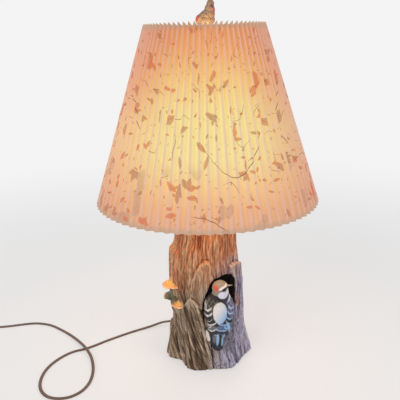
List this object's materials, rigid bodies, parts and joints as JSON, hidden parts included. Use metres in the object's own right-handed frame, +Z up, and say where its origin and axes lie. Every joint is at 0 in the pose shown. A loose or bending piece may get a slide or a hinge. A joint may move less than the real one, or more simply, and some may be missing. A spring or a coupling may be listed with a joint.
{
  "type": "table lamp",
  "caption": "Table lamp with a cast tree-trunk base, a woodpecker at a hollow, bracket fungi, a harp-held pleated cone shade and a bird finial, on a brown twin cord with plug.",
  "frame": {"origin": "on the table, at the bottom of the felt, under the middle of the shade", "axes": "+Z up through the nipple, lampholder and finial; the woodpecker faces -Y, the front; +X is to its right as the lamp is looked at"},
  "size_m": [0.6934, 0.359, 0.5958],
  "materials": {
    "bark": "cold-cast resin carved and painted as weathered bark, matte",
    "feathers": "painted resin, black and white plumage, matte",
    "fungus_orange": "painted resin, ochre to orange, satin",
    "fungus_grey": "painted resin, grey green, satin",
    "felt": "dark green felt",
    "zinc_steel": "zinc plated",
    "brass": "brass plated, lightly brushed",
    "contact_brass": "bare pressed brass",
    "fibre_card": "vulcanised fibre card",
    "black_moulding": "black phenolic moulding",
    "bulb_glass": "inside-frosted glass, lit",
    "bulb_cap_metal": "rolled thread",
    "filament": "glowing wire",
    "shade_fabric": "pleated translucent fabric with a printed scatter of dried leaves and stems, lit from inside",
    "finial_resin": "painted resin, cream and buff",
    "cord_brown": "brown vinyl twin cord, satin",
    "brown_plastic": "moulded brown plastic, satin"
  },
  "bodies": {
    "root": {"trunk_casting": "bark", "woodpecker": "feathers", "fungus_upper": "fungus_orange", "fungus_middle": "fungus_grey", "fungus_lower": "fungus_orange", "base_felt": "felt", "threaded_nipple": "zinc_steel", "bottom_washer": "zinc_steel", "bottom_nut": "zinc_steel", "check_ring": "brass", "top_lock_nut": "zinc_steel", "harp_saddle": "brass", "harp_bow": "brass", "harp_stud": "brass", "socket_cap": "brass", "socket_shell": "brass", "socket_liner": "fibre_card", "switch_body": "black_moulding", "screw_shell": "contact_brass", "centre_contact": "contact_brass", "terminal_screw_hot": "contact_brass", "terminal_screw_neutral": "zinc_steel", "cord_bushing": "brown_plastic", "inner_cord": "cord_brown", "wire_hot": "cord_brown", "wire_neutral": "cord_brown", "cord_lead": "cord_brown", "cord_coil": "cord_brown", "plug_body": "brown_plastic", "plug_blade_1": "contact_brass", "plug_blade_2": "contact_brass"},
    "shade": {"shade_pleats": "shade_fabric", "shade_top_ring": "brass", "shade_bottom_ring": "brass", "shade_spider": "brass"},
    "finial": {"finial_figure": "finial_resin", "finial_insert": "brass"},
    "bulb": {"bulb_globe": "bulb_glass", "bulb_cap": "bulb_cap_metal", "bulb_insulator": "black_moulding", "bulb_contact": "bulb_cap_metal", "bulb_stem": "bulb_glass", "bulb_filament": "filament"},
    "switch": {"switch_knob": "black_moulding", "switch_shaft": "black_moulding"},
    "ferrule_left": {"harp_ferrule_left": "brass"},
    "ferrule_right": {"harp_ferrule_right": "brass"}
  },
  "joints": [
    {"name": "shade_turn", "type": "hinge", "parent": "root", "child": "shade", "pos_m": [0, 0, 0.535], "axis": [0, 0, 1], "continuous": true},
    {"name": "finial_turn", "type": "hinge", "parent": "root", "child": "finial", "pos_m": [0, 0, 0.545], "axis": [0, 0, 1], "continuous": true},
    {"name": "bulb_turn", "type": "hinge", "parent": "root", "child": "bulb", "pos_m": [0, 0, 0.32], "axis": [0, 0, 1], "continuous": true},
    {"name": "switch_turn", "type": "hinge", "parent": "root", "child": "switch", "pos_m": [0, -0.025, 0.302], "axis": [0, -1, 0], "continuous": true},
    {"name": "ferrule_left_slide", "type": "slide", "parent": "root", "child": "ferrule_left", "axis": [0, 0, 1], "range_m": [0, 0.012]},
    {"name": "ferrule_right_slide", "type": "slide", "parent": "root", "child": "ferrule_right", "axis": [0, 0, 1], "range_m": [0, 0.012]}
  ]
}
